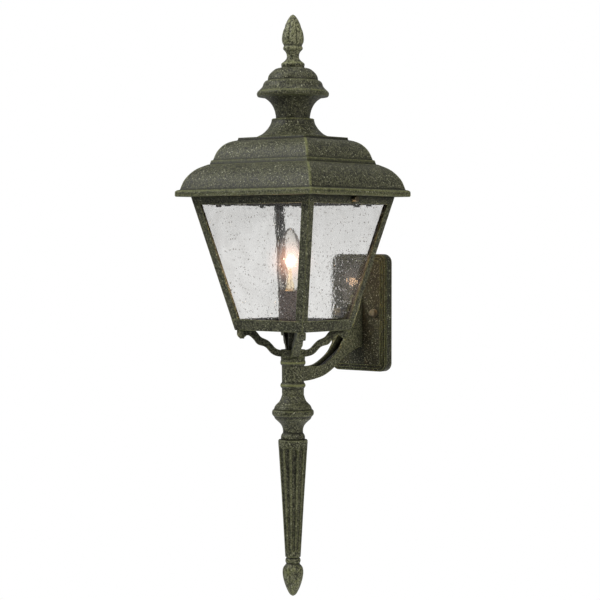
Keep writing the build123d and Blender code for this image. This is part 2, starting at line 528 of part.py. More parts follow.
save("roof_collar", turned(COLLAR, [(50.0, 275.1), (44.0, 279.5), (38.5, 285.0), (33.5, 291.0), (29.5, 297.4), (23.0, 298.9), (3.1, 298.9), (3.1, 303.7)]))
save("chimney_neck", turned(NECK, [(22.8, 303.8), (22.8, 311.4), (24.6, 317.3), (28.0, 324.8), (33.5, 331.3), (41.0, 337.8)]))
save("chimney_cap", turned(CAP, [(43.0, 337.9), (43.0, 342.2), (38.0, 352.2), (33.0, 363.1), (24.0, 374.0), (3.1, 374.0), (3.1, 382.0)]))
save("roof_rod", rod(ROD_R, 258.6, 405.0))
roof_nut = Pos(0, AXIS_Y, 261.6) * (extrude(RegularPolygon(11 / math.sqrt(3), 6), 5.4) - Cylinder(ROD_R + 0.03, 30))
save("roof_rod_nut", roof_nut)
finial = turned(FINIAL, [(ROD_R + 0.06, 382.4), (ROD_R + 0.06, 406.0), (0.001, 406.0), (0.001, 464.3)])
save("top_finial", finial)


def thumbscrew(s):
    """Round-headed thumbscrew through the side rail, head outside."""
    x_face = half_a(SCREW_Z)
    shank = rod_x(2.0, s * 103.0, s * (x_face + 2.0), z=SCREW_Z)
    neck = rod_x(2.9, s * (x_face + 0.9), s * (x_face + 3.6), z=SCREW_Z)
    head = rod_x(4.6, s * (x_face + 3.6), s * (x_face + 9.2), z=SCREW_Z)
    head = fillet(head.edges().filter_by(GeomType.CIRCLE), 0.9)
    return shank + neck + head


save("thumbscrew_left", thumbscrew(-1))
save("thumbscrew_right", thumbscrew(1))

# ---------------------------------------------------------------- wires held inside

def tube_path(points, x):
    pts = [(x, AXIS_Y + u, v) for u, v in points]
    vec = [Vector(*p) for p in pts]
    radii = []
    for a, b, c in zip(vec, vec[1:], vec[2:]):
        turn = math.radians((b - a).get_angle(c - b))
        run = min((b - a).length, (c - b).length)
        radii.append(min(0.45 * run / math.tan(turn / 2), 200.0))
    return pts, radii


def tube(pts, radii, r):
    path = FilletPolyline(*pts, radius=radii)
    section = Plane(origin=path @ 0, z_dir=path % 0) * Circle(r)
    return sweep(section, path=path)


sleeve_pts = [(22.0, -90.9), (36.0, -91.9), (62.0, -86.6), (88.0, -74.4), (113.0, -59.2), (134.0, -49.2), (151.0, -45.5), (167.5, -45.5)]
pts, radii = tube_path(sleeve_pts, 0.0)
print("sleeve radii", [round(r, 1) for r in radii])
sleeve = tube(pts, radii, 3.2) - tube(pts, radii, 2.55)
save("wire_sleeve", sleeve)
for name, x, end in (("lead_black", -1.3, [(170.5, -60.0), (170.5, -70.0)]), ("lead_white", 1.3, [(170.5, -60.0), (170.5, -70.0)])):
    pts, radii = tube_path([(0.0, 7.5), (0.0, -88.8), *sleeve_pts[1:-1], (170.5, -45.5), (170.5, -60.0)], x)
    radii[0] = 8.0
    radii[-1] = 4.0
    print(name, "radii", [round(r, 1) for r in radii])
    pts = pts[:-1] + [(x, AXIS_Y + 170.5, -58.0)]
    save(name, tube(pts, radii, 0.9))
nuts = []
for x in (-1.3, 1.3):
    nut = Pos(x * 3.6, AXIS_Y + 170.5, -66.0) * Cone(3.2, 4.4, 14.0)
    nuts.append(nut)
save("wire_nuts", Compound(children=nuts))
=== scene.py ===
import json
import math
import random

import bpy
import bmesh
from mathutils import Matrix, Vector

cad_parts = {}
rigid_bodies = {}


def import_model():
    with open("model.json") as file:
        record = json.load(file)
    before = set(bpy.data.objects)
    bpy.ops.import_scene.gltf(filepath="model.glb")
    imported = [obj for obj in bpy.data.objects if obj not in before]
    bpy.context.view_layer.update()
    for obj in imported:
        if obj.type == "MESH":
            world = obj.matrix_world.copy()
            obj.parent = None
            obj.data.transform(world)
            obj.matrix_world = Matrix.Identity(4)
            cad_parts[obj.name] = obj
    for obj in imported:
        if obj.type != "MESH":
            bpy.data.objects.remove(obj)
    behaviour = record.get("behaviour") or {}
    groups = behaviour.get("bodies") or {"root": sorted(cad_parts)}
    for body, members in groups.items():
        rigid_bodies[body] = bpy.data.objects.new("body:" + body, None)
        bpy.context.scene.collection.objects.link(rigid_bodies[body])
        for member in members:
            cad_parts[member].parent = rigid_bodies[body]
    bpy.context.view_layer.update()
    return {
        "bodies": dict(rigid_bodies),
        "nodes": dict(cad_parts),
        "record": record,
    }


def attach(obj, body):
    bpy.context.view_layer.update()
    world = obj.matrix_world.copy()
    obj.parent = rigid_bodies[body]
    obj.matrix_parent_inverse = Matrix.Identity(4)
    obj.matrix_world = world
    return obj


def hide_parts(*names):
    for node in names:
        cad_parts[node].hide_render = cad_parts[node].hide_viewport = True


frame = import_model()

scene = bpy.context.scene
nodes = frame["nodes"]
random.seed(7)

AXIS_Y = -0.1805            # the lantern's turned axis
LAMP_Y = AXIS_Y - 0.0054    # the lamp stands a little forward of it
MM = 0.001

# ---------------------------------------------------------------- camera
AZ = math.radians(39.9)
BACK = Vector((0.6411, -0.7668, 0.0314)).normalized()
TARGET = Vector((0.0084, -0.1735, 0.0240))
cam_data = bpy.data.cameras.new("camera")
cam_data.lens = 108.0
cam_data.sensor_width = 36.0
cam_data.clip_start = 0.05
cam_data.clip_end = 100.0
cam = bpy.data.objects.new("camera", cam_data)
scene.collection.objects.link(cam)
cam.location = TARGET + BACK * 2.789
cam.rotation_mode = "QUATERNION"
cam.rotation_quaternion = (-BACK).to_track_quat("-Z", "Y")
scene.camera = cam

# ---------------------------------------------------------------- node helpers


def new_material(name):
    m = bpy.data.materials.new(name)
    m.use_nodes = True
    m.node_tree.nodes.clear()
    return m, Tree(m.node_tree)


class Tree:
    def __init__(self, tree):
        self.t = tree

    def node(self, kind, **props):
        n = self.t.nodes.new(kind)
        for k, v in props.items():
            setattr(n, k, v)
        return n

    def link(self, a, b):
        self.t.links.new(a, b)

    def put(self, socket, value):
        if isinstance(value, bpy.types.NodeSocket):
            self.link(value, socket)
        elif value is not None:
            socket.default_value = value

    def coords(self):
        return self.node("ShaderNodeTexCoord").outputs["Object"]

    def noise(self, vec, scale, detail=3.0, rough=0.5, distort=0.0, kind="3D"):
        n = self.node("ShaderNodeTexNoise")
        n.inputs["Scale"].default_value = scale
        n.inputs["Detail"].default_value = detail
        n.inputs["Roughness"].default_value = rough
        n.inputs["Distortion"].default_value = distort
        self.link(vec, n.inputs["Vector"])
        return n.outputs["Fac"]

    def voronoi(self, vec, scale, feature="F1", randomness=1.0):
        n = self.node("ShaderNodeTexVoronoi", feature=feature)
        n.inputs["Scale"].default_value = scale
        n.inputs["Randomness"].default_value = randomness
        self.link(vec, n.inputs["Vector"])
        return n

    def mapping(self, vec, scale=(1, 1, 1), location=(0, 0, 0), rotation=(0, 0, 0)):
        n = self.node("ShaderNodeMapping")
        n.inputs["Scale"].default_value = scale
        n.inputs["Location"].default_value = location
        n.inputs["Rotation"].default_value = rotation
        self.link(vec, n.inputs["Vector"])
        return n.outputs["Vector"]

    def ramp(self, fac, *stops, interpolation="LINEAR"):
        """stops: (position, grey or colour)"""
        n = self.node("ShaderNodeValToRGB")
        n.color_ramp.interpolation = interpolation
        els = n.color_ramp.elements
        while len(els) < len(stops):
            els.new(0.5)
        for e, (pos, c) in zip(els, stops):
            e.position = pos
            e.color = (c, c, c, 1) if isinstance(c, (int, float)) else (*c, 1)
        self.link(fac, n.inputs["Fac"])
        return n.outputs["Color"]

    def rng(self, value, a, b, c=0.0, d=1.0, smooth=False):
        n = self.node("ShaderNodeMapRange")
        if smooth:
            n.interpolation_type = "SMOOTHSTEP"
        self.link(value, n.inputs["Value"])
        for k, v in (("From Min", a), ("From Max", b), ("To Min", c), ("To Max", d)):
            n.inputs[k].default_value = v
        return n.outputs["Result"]

    def math(self, op, a, b=None, clamp=False):
        n = self.node("ShaderNodeMath", operation=op, use_clamp=clamp)
        self.put(n.inputs[0], a)
        if b is not None:
            self.put(n.inputs[1], b)
        return n.outputs[0]

    def mix(self, fac, a, b, kind="MIX"):
        n = self.node("ShaderNodeMix", data_type="RGBA", blend_type=kind)
        self.put(n.inputs[0], fac)
        for s, v in ((n.inputs[6], a), (n.inputs[7], b)):
            if isinstance(v, tuple):
                v = (*v, 1) if len(v) == 3 else v
            self.put(s, v)
        return n.outputs[2]

    def bump(self, height, strength, distance, normal=None):
        n = self.node("ShaderNodeBump")
        n.inputs["Strength"].default_value = strength
        n.inputs["Distance"].default_value = distance
        self.link(height, n.inputs["Height"])
        if normal is not None:
            self.link(normal, n.inputs["Normal"])
        return n.outputs["Normal"]

    def principled(self, color, rough, metallic=0.0, normal=None, **extra):
        n = self.node("ShaderNodeBsdfPrincipled")
        self.put(n.inputs["Base Color"], (*color, 1) if isinstance(color, tuple) else color)
        self.put(n.inputs["Roughness"], rough)
        self.put(n.inputs["Metallic"], metallic)
        if normal is not None:
            self.link(normal, n.inputs["Normal"])
        for k, v in extra.items():
            self.put(n.inputs[k.replace("_", " ")], v)
        return n.outputs["BSDF"]

    def edges(self, radius):
        """1 on convex edges and 0 on flat faces, worn edges of a casting."""
        bevel = self.node("ShaderNodeBevel", samples=4)
        bevel.inputs["Radius"].default_value = radius
        geo = self.node("ShaderNodeNewGeometry")
        dot = self.node("ShaderNodeVectorMath", operation="DOT_PRODUCT")
        self.link(bevel.outputs["Normal"], dot.inputs[0])
        self.link(geo.outputs["Normal"], dot.inputs[1])
        return self.rng(dot.outputs["Value"], 0.995, 0.86, 0.0, 1.0)

    def occlusion_shade(self, distance):
        """Ambient occlusion used as painted shade: 1 in the open and towards 0 in grooves and under ledges."""
        n = self.node("ShaderNodeAmbientOcclusion", samples=4)
        n.inputs["Distance"].default_value = distance
        return n.outputs["AO"]

    def flat_coords(self):
        """(x + y, z) in metres: along the sheet and up, whichever way the pane faces."""
        sep = self.node("ShaderNodeSeparateXYZ")
        self.link(self.coords(), sep.inputs[0])
        com = self.node("ShaderNodeCombineXYZ")
        self.link(self.math("ADD", sep.outputs["X"], sep.outputs["Y"]), com.inputs[0])
        self.link(sep.outputs["Z"], com.inputs[1])
        return com.outputs[0]

    def voronoi2(self, vec, scale):
        n = self.node("ShaderNodeTexVoronoi", voronoi_dimensions="2D", feature="F1")
        n.inputs["Scale"].default_value = scale
        self.link(vec, n.inputs["Vector"])
        sep = self.node("ShaderNodeSeparateColor")
        self.link(n.outputs["Color"], sep.inputs["Color"])
        return n.outputs["Distance"], sep.outputs["Red"], sep.outputs["Green"]

    def out(self, shader, volume=None):
        n = self.node("ShaderNodeOutputMaterial")
        if shader is not None:
            self.link(shader, n.inputs["Surface"])
        if volume is not None:
            self.link(volume, n.inputs["Volume"])


# ---------------------------------------------------------------- materials


def cast_metal(name, low=(0.0066, 0.0068, 0.0040), high=(0.095, 0.097, 0.058), fleck=(0.46, 0.465, 0.33),
               green=(0.185, 0.198, 0.076), edge=1.0, green_share=0.10, shade=0.14, painted_light_level=1.0, rings=()):
    """Dark cast metal: a fine two-tone speckle, pale dots, and green patina worn onto the edges, with painted shade
    in grooves, creases and under ledges, optional rings of painted highlight and shade, and lighter or darker copies
    by a brightness factor as painted light and shade.
    """
    m, t = new_material(name)
    v = t.coords()
    low = tuple(c * painted_light_level for c in low)
    high = tuple(c * painted_light_level for c in high)
    patches = t.noise(v, 26, 4, 0.6)
    grain = t.noise(v, 340, 4, 0.70)
    fine = t.noise(v, 760, 3, 0.6)
    tone = t.math("ADD", t.math("MULTIPLY", grain, 0.72), t.math("MULTIPLY", fine, 0.28))
    tone = t.math("ADD", tone, t.rng(patches, 0.35, 0.65, -0.018, 0.018))
    base = t.mix(t.rng(tone, 0.448, 0.578), low, high)
    # pale dots
    dist = t.voronoi(v, 205)
    dots = t.rng(dist.outputs["Distance"], 0.23, 0.12)
    rare = t.rng(t.noise(v, 120, 2, 0.5), 0.46, 0.60, 0.08, 0.85)
    base = t.mix(t.math("MULTIPLY", dots, rare), base, fleck)
    specks = t.rng(t.voronoi(v, 330).outputs["Distance"], 0.30, 0.15)
    base = t.mix(t.math("MULTIPLY", specks, 0.38), base, fleck)
    # brushed green, faint on the faces and strong on the edges
    brushed = t.rng(t.noise(v, 140, 4, 0.65), 0.46, 0.66)
    base = t.mix(t.math("MULTIPLY", brushed, green_share), base, green)
    if edge:
        broken = t.rng(t.noise(v, 190, 4, 0.7), 0.30, 0.54)
        marked = t.math("MULTIPLY", t.node("ShaderNodeAttribute", attribute_name="wear").outputs["Fac"], 0.72)
        raised = t.math("MAXIMUM", t.edges(0.0022), marked)
        wear = t.math("MULTIPLY", raised, broken)
        base = t.mix(t.math("MULTIPLY", wear, 0.85 * edge), base, green)
        # painted shade: concave bends and crease lines are darkened almost to black
        crease_shade = t.node("ShaderNodeAttribute", attribute_name="crease_shade").outputs["Fac"]
        base = t.mix(t.math("MULTIPLY", crease_shade, 0.85), base, (0.004, 0.004, 0.003))
    # rings round the column painted in: (height, half width, light or dark), in metres; light is a painted highlight
    # in the worn-edge green, dark is painted shade in the groove
    if rings:
        sep = t.node("ShaderNodeSeparateXYZ")
        t.link(v, sep.inputs[0])
        back = t.math("SUBTRACT", sep.outputs["Y"], AXIS_Y)
        reach = t.math("SQRT", t.math("ADD", t.math("MULTIPLY", back, back), t.math("MULTIPLY", sep.outputs["X"], sep.outputs["X"])))
        near = t.rng(reach, 0.0205, 0.0225, 1.0, 0.0)
        for height_, half, light_or_shade in rings:
            off = t.math("ABSOLUTE", t.math("SUBTRACT", sep.outputs["Z"], height_))
            painted_ring_band = t.math("MULTIPLY", t.rng(off, half, half * 0.3), near)
            base = t.mix(t.math("MULTIPLY", painted_ring_band, 0.72), base, green if light_or_shade == "light" else (0.005, 0.005, 0.004))
    # painted shade: the colour is darkened by ambient occlusion in the grooves, under ledges and under the eave
    painted_shade_factor = t.rng(t.occlusion_shade(0.030), 0.25, 0.95, shade, 1.0)
    painted_shade_factor = t.math("MULTIPLY", painted_shade_factor, t.rng(t.occlusion_shade(0.0055), 0.42, 0.88, 0.30, 1.0))
    dark = t.node("ShaderNodeMix", data_type="RGBA", blend_type="MULTIPLY")
    dark.inputs[0].default_value = 1.0
    t.link(base, dark.inputs[6])
    t.link(painted_shade_factor, dark.inputs[7])
    base = dark.outputs[2]
    height = t.math("ADD", t.math("MULTIPLY", grain, 0.7), t.math("MULTIPLY", fine, 0.3))
    normal = t.bump(height, 0.62, 0.0010)
    rough = t.rng(grain, 0.3, 0.7, 0.42, 0.66)
    t.out(t.principled(base, rough, 0.0, normal, Specular_IOR_Level=0.26))
    return m


def plain_metal(name, color, rough=0.35, bump=0.15, scale=500, metallic=1.0, spread=0.25):
    m, t = new_material(name)
    v = t.coords()
    n = t.noise(v, scale, 4, 0.6)
    dark = tuple(c * (1 - spread) for c in color)
    col = t.mix(t.rng(t.noise(v, 80, 3), 0.35, 0.65), dark, color)
    t.out(t.principled(col, t.rng(n, 0.3, 0.7, rough * 0.8, min(1, rough * 1.25)), metallic,
                       t.bump(n, bump, 0.0004)))
    return m


def plastic(name, color, rough=0.4, scale=300, bump=0.1, spread=0.15):
    m, t = new_material(name)
    v = t.coords()
    n = t.noise(v, scale, 3, 0.6)
    dark = tuple(c * (1 - spread) for c in color)
    t.out(t.principled(t.mix(t.rng(n, 0.35, 0.65), dark, color), t.rng(n, 0.3, 0.7, rough * 0.85, rough * 1.15), 0.0,
                       t.bump(n, bump, 0.0003)))
    return m


def seeded_glass(name):
    """Clear sheet with slow waves, many small seeds and a few dark ones."""
    m, t = new_material(name)
    v = t.flat_coords()
    waves = t.noise(t.mapping(v, (1, 0.55, 1)), 62, 2, 0.5, 0.4)
    ripple = t.noise(t.mapping(v, (1, 0.6, 1)), 260, 2, 0.6)
    stretched = t.mapping(v, (1, 0.72, 1))
    # small bright seeds, shape only
    d1, r1, g1 = t.voronoi2(stretched, 140)
    seeds = t.math("MULTIPLY", t.rng(d1, 0.15, 0.03), t.rng(r1, 0.35, 0.36))
    # dark seeds
    d2, r2, g2 = t.voronoi2(stretched, 105)
    size = t.rng(g2, 0.0, 1.0, 0.075, 0.130)
    ratio = t.math("DIVIDE", d2, size)
    dark = t.math("MULTIPLY", t.rng(ratio, 1.0, 0.55), t.rng(r2, 0.38, 0.39))
    # they sit in the sheet's outer skin
    sep = t.node("ShaderNodeSeparateXYZ")
    t.link(t.coords(), sep.inputs[0])
    half_x = t.math("ADD", t.math("MULTIPLY", sep.outputs["Z"], 0.24757), 0.0735 - 0.00695)
    half_y = t.math("ADD", t.math("MULTIPLY", sep.outputs["Z"], 0.21699), 0.0640 - 0.00691)
    out_x = t.math("GREATER_THAN", t.math("ABSOLUTE", sep.outputs["X"]), half_x)
    out_y = t.math("GREATER_THAN", t.math("ABSOLUTE", t.math("SUBTRACT", sep.outputs["Y"], AXIS_Y)), half_y)
    dark = t.math("MULTIPLY", dark, t.math("MAXIMUM", out_x, out_y))
    color = t.mix(t.rng(waves, 0.35, 0.65), (0.842, 0.838, 0.828), (0.890, 0.888, 0.880))
    color = t.mix(dark, color, (0.16, 0.14, 0.12))
    outer = t.math("MAXIMUM", out_x, out_y)
    seeds = t.math("MULTIPLY", seeds, outer)
    # painted shade: the panes grey a little towards their top, under the roof
    painted_shade_top = t.rng(sep.outputs["Z"], 0.075, 0.172, 0.0, 0.075, True)
    color = t.mix(painted_shade_top, color, (0.30, 0.31, 0.31))
    height = t.math("ADD", t.math("MULTIPLY", waves, 1.0), t.math("MULTIPLY", ripple, 0.10))
    normal = t.bump(height, 0.36, 0.0011)
    normal = t.bump(seeds, 0.5, 0.0004, normal)
    glass = t.principled(color, 0.0, 0.0, normal, IOR=1.45, Transmission_Weight=1.0)
    clear = t.node("ShaderNodeBsdfTransparent")
    clear.inputs["Color"].default_value = (0.86, 0.87, 0.86, 1)
    path = t.node("ShaderNodeLightPath")
    both = t.node("ShaderNodeMixShader")
    t.link(path.outputs["Is Shadow Ray"], both.inputs[0])
    t.link(glass, both.inputs[1])
    t.link(clear.outputs[0], both.inputs[2])
    t.out(both.outputs[0])
    return m


def lamp_glass(name):
    """Thin clear envelope: a painted dark outline where it is seen edge-on, with a light gloss."""
    m, t = new_material(name)
    v = t.coords()
    n = t.noise(v, 60, 2, 0.5)
    edge_on_dark = t.node("ShaderNodeLayerWeight")
    edge_on_dark.inputs["Blend"].default_value = 0.5
    tint = t.mix(t.rng(edge_on_dark.outputs["Facing"], 0.40, 0.92), (0.975, 0.968, 0.958), (0.30, 0.27, 0.26))
    tint = t.mix(t.rng(n, 0.3, 0.7, 0.0, 0.25), tint, (0.93, 0.92, 0.90))
    clear = t.node("ShaderNodeBsdfTransparent")
    t.link(tint, clear.inputs["Color"])
    gloss = t.node("ShaderNodeBsdfGlossy")
    gloss.inputs["Roughness"].default_value = 0.04
    t.link(t.bump(n, 0.05, 0.0005), gloss.inputs["Normal"])
    fres = t.node("ShaderNodeFresnel")
    fres.inputs["IOR"].default_value = 1.35
    both = t.node("ShaderNodeMixShader")
    t.link(t.rng(fres.outputs[0], 0.0, 1.0, 0.0, 0.55), both.inputs[0])
    t.link(clear.outputs[0], both.inputs[1])
    t.link(gloss.outputs[0], both.inputs[2])
    t.out(both.outputs[0])
    return m


def glowing(name, color, strength):
    m, t = new_material(name)
    v = t.coords()
    n = t.noise(v, 900, 2, 0.5)
    e = t.node("ShaderNodeEmission")
    t.put(e.inputs["Color"], t.mix(t.rng(n, 0.4, 0.6), tuple(c * 0.85 for c in color), color))
    e.inputs["Strength"].default_value = strength
    t.out(e.outputs[0])
    return m


mats = {
    "cast_body": cast_metal("cast_body"),
    "gasket": plastic("gasket", (0.02, 0.02, 0.02), 0.9, 900, 0.6),
    "zinc": plain_metal("zinc", (0.55, 0.55, 0.52), 0.38),
    "ground_green": plain_metal("ground_green", (0.03, 0.30, 0.09), 0.35, metallic=0.6),
    "bronze": plain_metal("bronze", (0.20, 0.165, 0.11), 0.40, 0.3, 350),
    "dark_screw": plain_metal("dark_screw", (0.05, 0.05, 0.045), 0.5),
    "glass": seeded_glass("glass"),
    "lamp_glass": lamp_glass("lamp_glass"),
    "phenolic": plastic("phenolic", (0.03, 0.025, 0.022), 0.35),
    "brass": plain_metal("brass", (0.78, 0.58, 0.27), 0.28),
    "wire_steel": plain_metal("wire_steel", (0.5, 0.5, 0.48), 0.3),
    "filament": glowing("filament", (1.0, 0.80, 0.52), 160.0),
    "pvc_black": plastic("pvc_black", (0.015, 0.015, 0.015), 0.35),
    "pvc_white": plastic("pvc_white", (0.75, 0.75, 0.72), 0.35),
    "nut_orange": plastic("nut_orange", (0.70, 0.20, 0.03), 0.4),
}
cover_metal = cast_metal("cover_metal", low=(0.016, 0.009, 0.008), high=(0.075, 0.052, 0.044), edge=0.0,
                         fleck=(0.30, 0.27, 0.22), green=(0.08, 0.06, 0.045))
# painted shade: darker copies of the cast metal, for the plate that sits in the lantern's shadow and, slightly
# darker, for the frame
plate_metal_painted_shade = cast_metal("plate_metal_painted_shade", painted_light_level=0.40, edge=1.0, shade=0.12)
frame_metal_painted_shade = cast_metal("frame_metal_painted_shade", painted_light_level=0.98, shade=0.12)
# painted light: lighter copies of the cast metal for the column, vase, arm and finials, brightened to stand in for
# the light on them; the finials also carry more green patina
column_metal_painted_light = cast_metal("column_metal_painted_light", painted_light_level=1.5)
vase_metal_painted_light = cast_metal("vase_metal_painted_light", painted_light_level=1.22)
arm_metal_painted_light = cast_metal("arm_metal_painted_light", painted_light_level=1.42, rings=[(-0.0728, 0.0022, "light"), (-0.0774, 0.0017, "dark"), (-0.1038, 0.0016, "dark"),
                                                       (-0.1078, 0.0022, "light"), (-0.1130, 0.0016, "dark"), (-0.1236, 0.0012, "dark"), (-0.0654, 0.0012, "dark")])
finial_metal_painted_light = cast_metal("finial_metal_painted_light", painted_light_level=2.8, green_share=0.22, edge=0.8, green=(0.21, 0.235, 0.085))
bud_metal_painted_light = cast_metal("bud_metal_painted_light", painted_light_level=1.95, green_share=0.36, edge=0.8, green=(0.19, 0.215, 0.062))
stem_glass_painted_glow, st = new_material("stem_glass_painted_glow")
milky = st.mix(st.rng(st.noise(st.coords(), 300, 2), 0.35, 0.65), (0.94, 0.88, 0.70), (0.98, 0.94, 0.82))
# painted glow: the stem glass emits a faint warm light of its own, standing in for the filament's light inside it
st.out(st.principled(milky, 0.25, 0.0, None, Transmission_Weight=0.9, IOR=1.3, Emission_Color=(1.0, 0.84, 0.55, 1), Emission_Strength=0.05))

slot_of = {s["node"]: s["material_slot"] for s in frame["record"]["subparts"]}
for name, obj in nodes.items():
    obj.data.materials.clear()
    obj.data.materials.append(mats[slot_of[name]])
nodes["socket_cover"].data.materials[0] = cover_metal
nodes["back_plate"].data.materials[0] = plate_metal_painted_shade
for name in ("top_frame", "bottom_frame", "post_front_left", "post_front_right", "post_rear_left", "post_rear_right"):
    nodes[name].data.materials[0] = frame_metal_painted_shade
for name in ("fluted_shaft", "strut_spider"):
    nodes[name].data.materials[0] = column_metal_painted_light
nodes["bracket_arm"].data.materials[0] = arm_metal_painted_light
nodes["bulb_stem"].data.materials[0] = stem_glass_painted_glow
nodes["glass_clips"].data.materials[0] = mats["dark_screw"]

# ---------------------------------------------------------------- turned and cast pieces


def curve_points(seg, steps=7):
    """Smooth points through (r, z) knots; two knots stay a straight line."""
    if len(seg) < 3:
        return [tuple(p) for p in seg]
    pts = [Vector(p) for p in seg]
    pts = [pts[0] * 2 - pts[1]] + pts + [pts[-1] * 2 - pts[-2]]
    out = []
    for a, b, c, d in zip(pts, pts[1:], pts[2:], pts[3:]):
        for i in range(steps):
            u = i / steps
            p = 0.5 * ((2 * b) + (c - a) * u + (2 * a - 5 * b + 4 * c - d) * u * u + (3 * b - a - 3 * c + d) * u ** 3)
            out.append((p.x, p.y))
    out.append(tuple(pts[-2]))
    return out


def wear_of(profile):
    """(wear, crease_shade) at each (r, z) point of an outer profile that runs downwards: wear on convex bends,
    painted shade in concave bends.
    """
    out = []
    for i, p in enumerate(profile):
        a, c = profile[max(i - 1, 0)], profile[min(i + 1, len(profile) - 1)]
        d1, d2 = (p[0] - a[0], p[1] - a[1]), (c[0] - p[0], c[1] - p[1])
        l1, l2 = math.hypot(*d1), math.hypot(*d2)
        if l1 < 1e-6 or l2 < 1e-6:
            out.append((0.0, 0.0))
            continue
        turn = math.atan2(d1[0] * d2[1] - d1[1] * d2[0], d1[0] * d2[0] + d1[1] * d2[1])
        bend = -turn / max(0.5 * (l1 + l2), 0.9)
        out.append((min(1.0, max(0.0, (bend - 0.07) / 0.22)), min(1.0, max(0.0, (-bend - 0.05) / 0.22))))
    # each mark spreads a little along the skin
    wide = []
    for p in profile:
        reach = [max(0.0, 1.0 - math.dist(p, o) / 2.6) for o in profile]
        wide.append((max(r * v[0] for r, v in zip(reach, out)), max(r * v[1] for r, v in zip(reach, out))))
    return wide


def paint(mesh, values):
    for k, label in enumerate(("wear", "crease_shade")):
        layer = mesh.attributes.new(label, "FLOAT", "POINT")
        layer.data.foreach_set("value", [v[k] for v in values])


def lathe(name, segs, inner, body, node, material, around=144, shape=None, steps=7, crease=None):
    """A closed turned solid in mm; shape(angle, r, z) may pull its skin in, and crease(angle, z) marks lines of
    painted shade.
    """
    rings, sharp = [], set()
    for seg in segs:
        pts = curve_points(seg, steps)
        if rings:
            pts = pts[1:]
        rings += [(r, z, True) for r, z in pts]
        sharp.add(len(rings) - 1)
    sharp.add(0)
    for r, z in inner:
        if math.dist((r, z), rings[-1][:2]) > 1e-4:
            rings.append((r, z, False))
            sharp.add(len(rings) - 1)
    skin = [(r, z) for r, z, outer in rings if outer]
    marks = wear_of(skin) + [(0.0, 0.0)] * (len(rings) - len(skin))
    values = []
    bm = bmesh.new()
    loops = []
    for (r, z, outer), mark in zip(rings, marks):
        if r < 0.02:
            # on the axis the ring closes to one point
            loops.append([bm.verts.new((0.0, AXIS_Y, z * MM))] * around)
            values.append((0.0, 0.0))
            continue
        loop = []
        for k in range(around):
            a = k * math.tau / around
            rr = max(r, 0.01)
            if shape and outer:
                rr = shape(a, rr, z)
            # crease lines take painted shade and lose their wear
            line = crease(a, z) if crease and outer else 0.0
            values.append((mark[0] * (1.0 - line), max(mark[1], line)))
            loop.append(bm.verts.new((rr * math.cos(a) * MM, AXIS_Y + rr * math.sin(a) * MM, z * MM)))
        loops.append(loop)
    n = len(loops)
    for i in range(n):
        lo, hi = loops[i], loops[(i + 1) % n]
        for k in range(around):
            j = (k + 1) % around
            corners = list(dict.fromkeys((lo[k], hi[k], hi[j], lo[j])))
            if len(corners) < 3:
                continue
            f = bm.faces.new(corners)
            f.smooth = True
    bm.edges.ensure_lookup_table()
    for i in sharp:
        loop = loops[i]
        if loop[0] is loop[1]:
            continue
        for k in range(around):
            e = bm.edges.get((loop[k], loop[(k + 1) % around]))
            if e:
                e.smooth = False
    bmesh.ops.recalc_face_normals(bm, faces=bm.faces)
    obj = finish_piece(bm, name, body, node, material)
    paint(obj.data, values)
    return obj


def finish_piece(bm, name, body, node, material):
    mesh = bpy.data.meshes.new(name)
    bm.to_mesh(mesh)
    bm.free()
    mesh.materials.append(material)
    obj = bpy.data.objects.new(name, mesh)
    scene.collection.objects.link(obj)
    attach(obj, body)
    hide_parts(node)
    return obj


FINIAL = [
    [(0.9, 464.1), (4, 461.9), (7.3, 457.3), (10.5, 451.2), (13.1, 445), (15.1, 438.8), (16.4, 432.7), (17, 427), (16.4, 421.8), (15, 418.7), (13.9, 416.3)],
    [(13.9, 416.3), (14.7, 414.2), (15.3, 412.5), (14.7, 410.5), (13.5, 409.2)],
    [(13.5, 409.2), (11.2, 406.4), (9.8, 403), (9.5, 399.6), (10.2, 396.2), (12.9, 392.9), (16.9, 389.8)],
    [(16.9, 389.8), (18, 388.3), (18.1, 386.4), (17.7, 384.2), (17.5, 382.4)],
]
CAP = [
    [(20.6, 382), (26.8, 380.4), (31.3, 377.1), (34.8, 373.8), (37.1, 370.7), (38.4, 367.3), (39.1, 362.9)],
    [(39.1, 362.9), (42.1, 361.9)],
    [(42.1, 361.9), (44.5, 359.5), (45.9, 356.7), (46.8, 353.8), (48.8, 351), (51.6, 348.2), (54.5, 345.5)],
    [(54.5, 345.5), (55.6, 343.4), (55.7, 340.7), (54.5, 337.9)],
]
NECK = [
    [(46.2, 337.8), (42.8, 335.3), (38.6, 332.3), (35.2, 329.1), (32.4, 325.3), (30.2, 321.3), (28.5, 317), (27.3, 312.4), (26.5, 307.8), (26.3, 303.8)],
]
COLLAR = [
    [(31.9, 303.7), (32.9, 302.8)],
    [(32.9, 302.8), (33, 300.6)],
    [(33, 300.6), (34.7, 295.4), (38, 289.9), (42.5, 284.6), (47.7, 280.1), (53.6, 277), (57.2, 275.1)],
]
VASE = [
    [(17.2, -123.7), (18, -126.2), (19.2, -129.6), (21.1, -133.3), (24.2, -136.6), (27.3, -139.8), (29.3, -144.1), (29.4, -145.5)],
    [(29.4, -145.5), (31.6, -146.9), (32.5, -150.3), (31.9, -153.9), (29.6, -156.5)],
    [(29.6, -156.5), (27.6, -160.3), (24.3, -163.4), (20.8, -166.7), (18, -170.2), (16.4, -174), (15.7, -178.1), (15.7, -182.1)],
    [(15.7, -182.1), (17.2, -184), (18.4, -186.6), (18.8, -189.6), (18.4, -192.6)],
]
